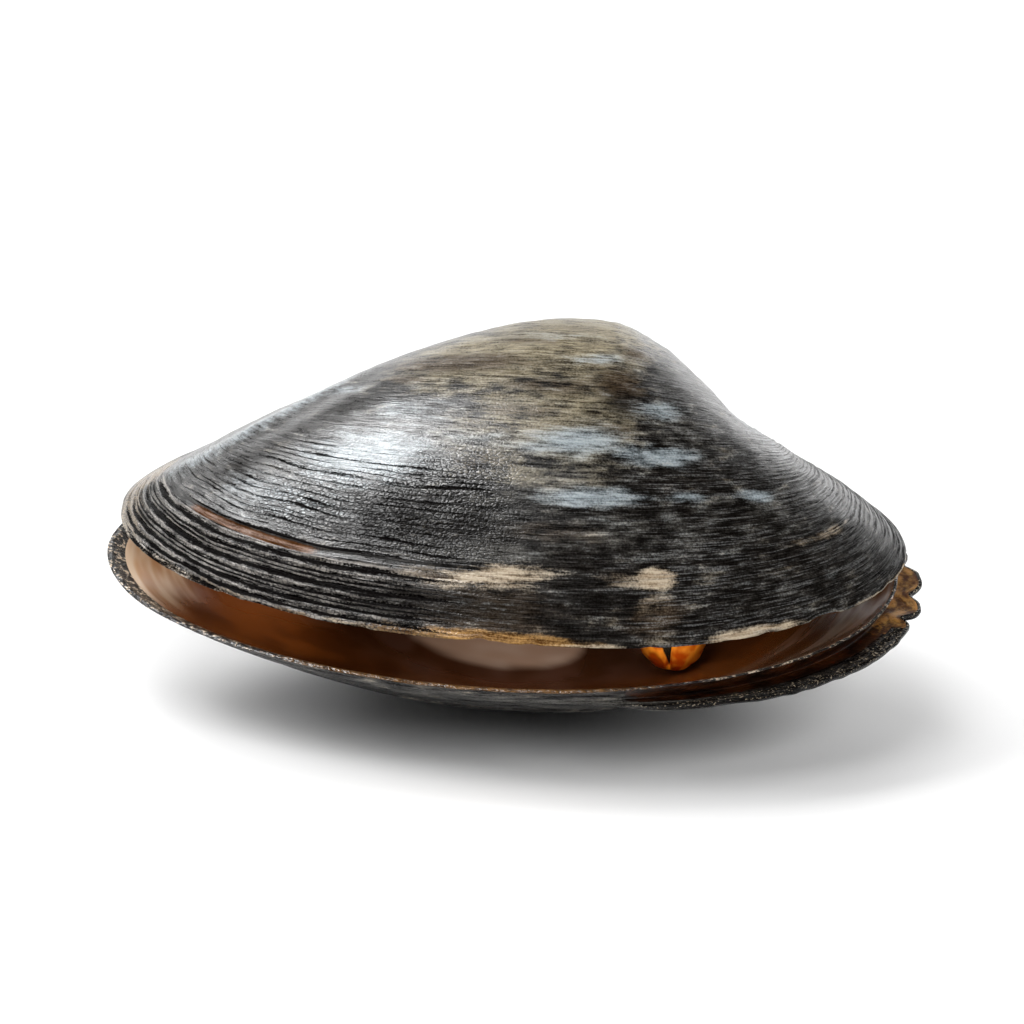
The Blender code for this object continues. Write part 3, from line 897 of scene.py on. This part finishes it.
def chalky_shell_edge():
    """Broken shell edge: dull cream to grey chalk with dark flecks of skin left in it."""
    made, tree, shader = new_material("chalky_shell_edge")
    specks = grit(tree, 0.4, 11)
    line = grain(tree, 5.0, 0.4, 12)
    colour = toned(tree, specks, "#2b2520", "#8f8271")
    cream = toned(tree, specks, "#9c8260", "#cdbca2")
    colour = laid_over(tree, colour, cream, "cream", line, 0.9, 0.3, 0.8)
    gold = toned(tree, specks, "#9c7434", "#cdb685")
    colour = laid_over(tree, colour, gold, "gold", line, 0.7, 0.3, 0.8)
    finish_surface(tree, shader, colour, 0.6, summed(tree, ((specks, 0.05), (line, 0.05))))
    return made


def glazed_lining():
    """Inside of the shell: smooth nacre stained amber to black-brown, pearly at its left end, with a wet gloss."""
    made, tree, shader = new_material("stained_nacre_lining")
    cloudy = grit(tree, 6.0, 21, detail=1.0)
    pale = grain(tree, 16.0, 2.4, 22, detail=1.5)
    colour = toned(tree, cloudy, "#4b260c", "#603310")
    deep = toned(tree, cloudy, "#3e2414", "#54372a")
    colour = laid_over(tree, colour, deep, "deep", cloudy, 0.4, 0.2, 0.8)
    pearl = toned(tree, pale, "#d3a57b", "#e6cdb2")
    colour = laid_over(tree, colour, pearl, "pearl", pale, 0.3, 0.1, 0.95)
    lens = toned(tree, cloudy, "#a68c7b", "#b09a8b")
    colour = laid_over(tree, colour, lens, "lens", cloudy, 0.1, 0.45, 1.0)
    finish_surface(tree, shader, colour, 0.24, summed(tree, ((cloudy, 0.05), (pale, 0.01))))
    shader.inputs["IOR"].default_value = 1.53
    return made


def beaded_lip():
    """Lip of the lower valve: rough dark conchiolin beads with bright glints, tan and rubbed smooth in the middle."""
    made, tree, shader = new_material("beaded_conchiolin_lip")
    specks = grit(tree, 0.32, 31)
    fleck = grit(tree, 0.6, 32)
    both = summed(tree, ((specks, 0.5), (fleck, 0.5)))
    colour = toned(tree, both, "#0d090a", "#372c2c", 0.3, 0.9)
    glint = toned(tree, both, "#120d0a", "#d9c6ae", 0.56, 0.74)
    colour = laid_over(tree, colour, glint, "beaded", fleck, 0.6, 0.4, 0.8, 0.9)
    tan = toned(tree, both, "#33200e", "#6c4d29")
    colour = laid_over(tree, colour, tan, "smooth_lip", specks, 0.6, 0.3, 0.8)
    height = summed(tree, ((specks, 0.05), (fleck, 0.09)))
    finish_surface(tree, shader, colour, 0.28, height)
    return made


def horny_layer():
    """Split-off outer layer: thin horn, red-brown in the crevice and translucent tan where it frays."""
    made, tree, shader = new_material("frayed_horny_layer")
    pale = grain(tree, 3.0, 0.8, 41)
    specks = grit(tree, 0.5, 42)
    colour = toned(tree, pale, "#100602", "#3a1c0a")
    tan = toned(tree, pale, "#45220a", "#b08448")
    colour = laid_over(tree, colour, tan, "lobes", specks, 0.8, 0.35, 1.0)
    finish_surface(tree, shader, colour, 0.35, summed(tree, ((specks, 0.03), (pale, 0.05))))
    shader.inputs["Subsurface Weight"].default_value = 0.3
    shader.inputs["Subsurface Radius"].default_value = (0.0012, 0.0006, 0.0002)
    shader.inputs["Subsurface Scale"].default_value = 1.0
    return made


def dried_amber():
    """Dried resin-like drop: clear orange, deeper red-orange in soft clouds, with a wet polish."""
    made, tree, shader = new_material("polished_amber")
    cloudy = grit(tree, 1.6, 51, detail=1.5)
    colour = toned(tree, cloudy, "#cf5208", "#ff9a2a")
    # The cleft is painted near-black: painted shade inside it
    dark = toned(tree, cloudy, "#0b100c", "#22221a")
    colour = laid_over(tree, colour, dark, "cleft", cloudy, 0.1, 0.45, 0.75)
    finish_surface(tree, shader, colour, 0.09, summed(tree, ((cloudy, 0.12),)))
    shader.inputs["IOR"].default_value = 1.54
    shader.inputs["Transmission Weight"].default_value = 0.2
    shader.inputs["Subsurface Weight"].default_value = 0.0
    return made


def horny_ligament():
    """Hinge ligament: dry brown-black horn with lengthwise fibres."""
    made, tree, shader = new_material("dried_horn_ligament")
    fibres = grit(tree, 0.3, 61, stretch=(0.06, 1.0, 1.0))
    colour = toned(tree, fibres, "#120c08", "#4a3420")
    finish_surface(tree, shader, colour, 0.45, summed(tree, ((fibres, 0.08),)))
    return made


def amber_drop():
    """A round drop with a wedge-shaped cleft in its front, left of the middle."""
    centre = np.array(to_world(np.array(DROP_CENTRE), 0.0, 0.0))
    bpy.ops.object.select_all(action="DESELECT")
    bpy.ops.mesh.primitive_uv_sphere_add(segments=96, ring_count=64, radius=1.0)
    drop = bpy.context.object
    drop.name = "amber_drop_clear"
    ball = np.empty(len(drop.data.vertices) * 3, np.float32)
    drop.data.vertices.foreach_get("co", ball)
    ball = ball.reshape(-1, 3)
    x, y, z = ball.T
    down = smooth(0.6, -0.8, z)
    left, right = -0.50 + 0.42 * down, 0.02 - 0.03 * down
    in_cleft = smooth(left - 0.05, left + 0.05, x) * (1.0 - smooth(right - 0.07, right + 0.07, x))
    in_cleft *= (1.0 - smooth(-0.35, -0.15, y)) * smooth(-0.86, -0.7, z)
    dents = 0.035 * cloud(x * 3 + 20, z * 3 + 20, 64, 91) * (1.0 - in_cleft)
    ball = ball * (1.0 + dents - 0.28 * in_cleft)[:, None]
    made = drop.data.attributes.new("cleft", "FLOAT", "POINT")
    made.data.foreach_set("value", in_cleft.astype(np.float32))
    placed = (ball * np.array(DROP_RADII) + centre) * MM
    drop.data.vertices.foreach_set("co", placed.astype(np.float32).ravel())
    drop.data.update()
    bpy.ops.object.shade_smooth()
    return drop


def hinge_ligament():
    """A thin spindle of horn with ribs along it, behind the beaks."""
    along = np.cos(np.linspace(0.02, math.pi - 0.02, 49))
    around_it = np.linspace(0.0, math.tau, 41)
    s, r = np.meshgrid(along, around_it)
    radius = 0.85 * np.sqrt(1.0 - s * s)
    ribs = 1.0 + 0.05 * np.sin(9 * r + 0.7 * np.sin(5 * s)) + 0.04 * cloud(r / math.tau * 12, s * 6 + 20, 12, 71)
    offset = 6.5 * s
    points = np.stack([
        LIGAMENT_MIDDLE[0] + offset,
        LIGAMENT_MIDDLE[1] + radius + 0.07 * offset + radius * ribs * np.cos(r),
        LIGAMENT_MIDDLE[2] + radius * ribs * np.sin(r),
    ], axis=-1)
    points = np.swapaxes(points, 0, 1)
    first = points[0].mean(axis=0) + np.zeros_like(points[0])
    last = points[-1].mean(axis=0) + np.zeros_like(points[0])
    rings = to_world(np.concatenate([[first], points, [last]]), 0.0, 0.0)
    return rolled_sheet("hinge_ligament_fibres", rings, {})


skin_material = weathered_periostracum("weathered_periostracum", "#0b0907", "#3a3631")
crust_material = weathered_periostracum("chalked_periostracum", "#0c0907", "#3a3028")
edge_material = chalky_shell_edge()
lining_material = glazed_lining()

upper = upper_valve()
inside = face_values(upper, "inside")
dress(upper, (skin_material, edge_material, lining_material), (inside > 0.1).astype(int) + (inside > 0.9))

lower = lower_valve()
inside = face_values(lower, "inside")
layer = face_values(lower, "layer")
choice = (inside > 0.1).astype(int) + (inside > 0.9)
choice[(choice == 0) & (layer > 0.5)] = 3
dress(lower, (crust_material, beaded_lip(), lining_material, horny_layer()), choice)

drop = amber_drop()
drop.data.materials.append(dried_amber())
ligament = hinge_ligament()
ligament.data.materials.append(horny_ligament())

PIECES = (
    (upper, "upper_valve", "dark_outer_skin"),
    (lower, "lower_valve", "brown_lining"),
    (drop, "amber_drop", "dried_amber"),
    (ligament, "ligament", "horny_ligament"),
)
for piece, node, slot in PIECES:
    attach(piece, "root")
    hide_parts(node)

# Floor, light and camera
bpy.ops.object.select_all(action="DESELECT")
bpy.ops.mesh.primitive_plane_add(size=4.0, location=(0.0, 0.0, 0.0))
floor = bpy.context.object
floor.name = "floor"
floor.data.materials.append(plain("white_table_paper", "#f4f4f4", 0.9))

world = bpy.data.worlds.new("studio")
bpy.context.scene.world = world
world.use_nodes = True
sky = world.node_tree
direction = add(sky, "ShaderNodeTexCoord")
part = add(sky, "ShaderNodeSeparateXYZ", {0: direction.outputs["Generated"]})
low = add(sky, "ShaderNodeMapRange", {
    "Value": part.outputs["Z"], "From Min": 0.10, "From Max": 0.58, "To Min": 1.0, "To Max": 0.0,
}, interpolation_type="SMOOTHSTEP")
behind = add(sky, "ShaderNodeMapRange", {
    "Value": part.outputs["Y"], "From Min": -0.35, "From Max": 0.35,
}, interpolation_type="SMOOTHSTEP")
white = add(sky, "ShaderNodeMath", {0: low.outputs["Result"], 1: behind.outputs["Result"]}, operation="MULTIPLY")
bright = add(sky, "ShaderNodeMath", {0: white.outputs[0], 1: 0.95, 2: 0.08}, operation="MULTIPLY_ADD")
sky.links.new(bright.outputs[0], sky.nodes["Background"].inputs["Strength"])
sky.nodes["Background"].inputs["Color"].default_value = (1.0, 1.0, 1.0, 1.0)


def soft_box(name, azimuth, elevation, size, power, diffuse, glossy):
    """A round area light that faces the shell, at an azimuth from the front and an elevation in degrees."""
    azimuth, elevation = azimuth * DEGREE, elevation * DEGREE
    away_from = Vector((
        math.sin(azimuth) * math.cos(elevation),
        -math.cos(azimuth) * math.cos(elevation),
        math.sin(elevation),
    ))
    lamp = bpy.data.lights.new(name, "AREA")
    lamp.shape = "DISK"
    lamp.size = size
    lamp.energy = power
    box = bpy.data.objects.new(name, lamp)
    box.location = away_from * 1.2 + Vector((0.0, 0.0, 0.02))
    box.rotation_euler = away_from.to_track_quat("Z", "Y").to_euler()
    box.visible_diffuse = diffuse
    box.visible_glossy = glossy
    bpy.context.scene.collection.objects.link(box)


# Name, azimuth, elevation, size, power, whether it lights matt surfaces and whether it shows as a highlight
SOFT_BOXES = (
    ("left_key", -92.0, 38.0, 0.7, 8.5, True, True),
    ("left_back_box", -132.0, 52.0, 0.7, 5.0, True, False),
    ("back_box", 180.0, 38.0, 0.7, 4.0, True, False),
    ("right_fill", 45.0, 38.0, 0.7, 6.5, True, False),
    ("left_front_fill", -45.0, 64.0, 0.7, 4.5, True, False),
    ("front_fill", 0.0, 38.0, 0.7, 1.4, True, False),
    ("sheen_box", -108.0, 60.0, 0.7, 30.0, False, True),
    ("ridge_glow_box", -158.0, 9.0, 0.5, 1.2, False, True),
    ("edge_glow_box", 163.0, 12.0, 0.5, 2.2, False, True),
)
for box in SOFT_BOXES:
    soft_box(*box)



def inner_glow(name, place, aim, width, depth, power, colour):
    """A little of the light that soaks through the thin valve and bounces about inside; the lamp itself isn't seen."""
    glow = bpy.data.lights.new(name, "AREA")
    glow.shape = "RECTANGLE"
    glow.size = width * MM
    glow.size_y = depth * MM
    glow.energy = power
    glow.color = colour
    lamp = bpy.data.objects.new(name, glow)
    lamp.location = Vector(place) * MM
    lamp.rotation_euler = (Vector(place) - Vector(aim)).to_track_quat("Z", "X").to_euler()
    lamp.visible_camera = False
    lamp.visible_glossy = False
    bpy.context.scene.collection.objects.link(lamp)


inner_glow("inner_glow", (0.0, -6.0, 16.5), (0.0, -6.0, 0.0), 14.0, 50.0, 0.0022, (1.0, 0.86, 0.74))
inner_glow("left_glow", (-24.0, -4.0, 15.0), (-33.0, -8.0, 6.0), 12.0, 12.0, 0.0012, (1.0, 0.84, 0.66))
inner_glow("drop_glow", (16.0, -13.0, 14.0), (17.0, -3.0, 7.5), 5.0, 6.0, 0.0011, (1.0, 0.95, 0.9))

camera_data = bpy.data.cameras.new("camera")
camera_data.lens = 142.1
camera_data.sensor_width = 36.0
camera_data.clip_end = 10.0
camera = bpy.data.objects.new("camera", camera_data)
CAMERA_PLACE = Vector((28.59, -396.06, 159.37)) * MM
CAMERA_AIM = Vector((-0.53, -1.07, 19.61)) * MM
CAMERA_ROLL = 2.521 * DEGREE
facing = (CAMERA_PLACE - CAMERA_AIM).to_track_quat("Z", "Y").to_matrix().to_4x4()
camera.matrix_world = Matrix.Translation(CAMERA_PLACE) @ facing @ Matrix.Rotation(CAMERA_ROLL, 4, "Z")
bpy.context.scene.collection.objects.link(camera)
bpy.context.scene.camera = camera
bpy.context.scene.view_settings.view_transform = "Standard"
